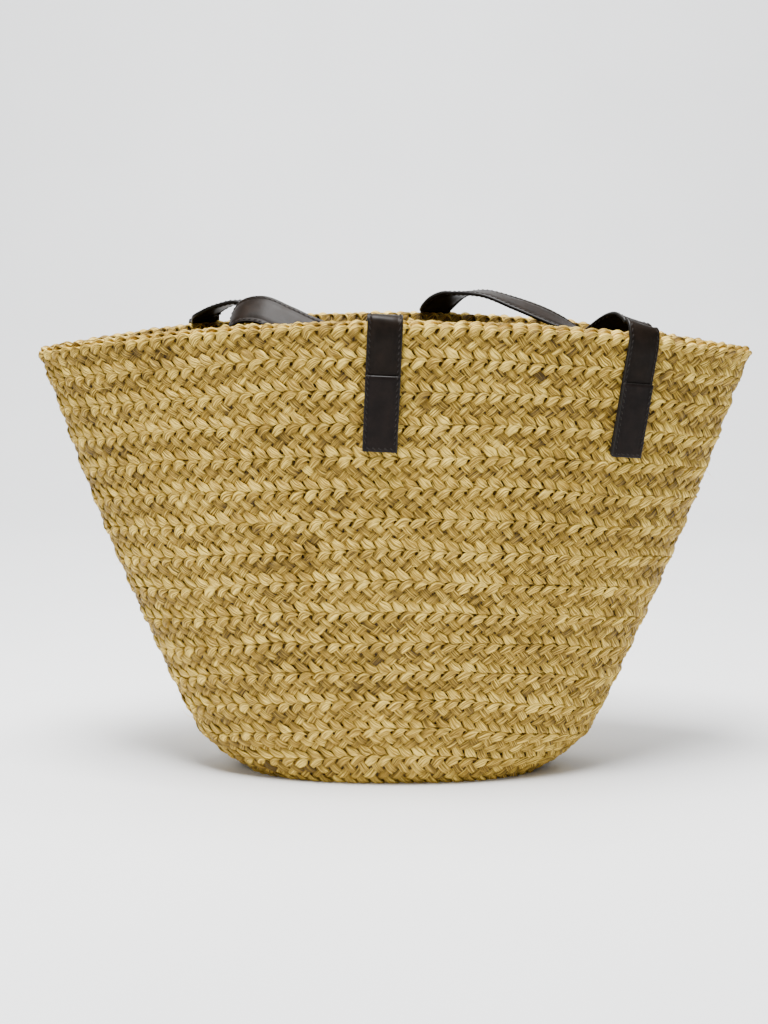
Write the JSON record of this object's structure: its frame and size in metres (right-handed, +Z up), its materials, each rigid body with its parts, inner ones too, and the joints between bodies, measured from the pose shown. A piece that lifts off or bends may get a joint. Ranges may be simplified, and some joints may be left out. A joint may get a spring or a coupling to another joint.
{
  "type": "beach bag",
  "caption": "Soft straw tote: wide plaited strips sewn edge to edge into a flared basket on an oval base, with two leather strap handles sewn over the rim.",
  "frame": {"origin": "on the resting plane, under the middle of the oval base", "axes": "+Z up; X along the mouth from fold to fold; -Y is the front, where the handle sits to the right of the middle"},
  "size_m": [0.4966, 0.1892, 0.3387],
  "materials": {
    "plaited_straw": "natural palm or raffia straw, plaited in wide strips, dry and satin",
    "facing_straw": "the same straw, as the plaited strip inside the rim",
    "strap_leather": "very dark brown smooth leather with painted edges",
    "patch_leather": "very dark brown smooth leather, stitched down",
    "thread": "dark waxed thread"
  },
  "bodies": {
    "root": {"base_core": "plaited_straw", "base_round": "plaited_straw", "wall_course_01": "plaited_straw", "wall_course_02": "plaited_straw", "wall_course_03": "plaited_straw", "wall_course_04": "plaited_straw", "wall_course_05": "plaited_straw", "wall_course_06": "plaited_straw", "wall_course_07": "plaited_straw", "wall_course_08": "plaited_straw", "wall_course_09": "plaited_straw", "wall_course_10": "plaited_straw", "wall_course_11": "plaited_straw", "wall_course_12": "plaited_straw", "wall_course_13": "plaited_straw", "wall_course_14": "plaited_straw", "wall_course_15": "plaited_straw", "rim_facing": "facing_straw", "front_left_strap_end": "strap_leather", "front_left_patch": "patch_leather", "front_left_stitching": "thread", "front_right_strap_end": "strap_leather", "front_right_patch": "patch_leather", "front_right_stitching": "thread", "back_left_strap_end": "strap_leather", "back_left_patch": "patch_leather", "back_left_stitching": "thread", "back_right_strap_end": "strap_leather", "back_right_patch": "patch_leather", "back_right_stitching": "thread"},
    "front_handle": {"front_handle_strap": "strap_leather"},
    "back_handle": {"back_handle_strap": "strap_leather"}
  },
  "joints": [
    {"name": "front_handle_fold", "type": "hinge", "parent": "root", "child": "front_handle", "pos_m": [0.07823, -0.07273, 0.31957], "axis": [0.9817, 0.1822, -0.0558], "range_deg": [0, 125]},
    {"name": "back_handle_fold", "type": "hinge", "parent": "root", "child": "back_handle", "pos_m": [-0.05382, 0.07683, 0.32074], "axis": [-0.9915, -0.1242, -0.0387], "range_deg": [0, 125]}
  ]
}
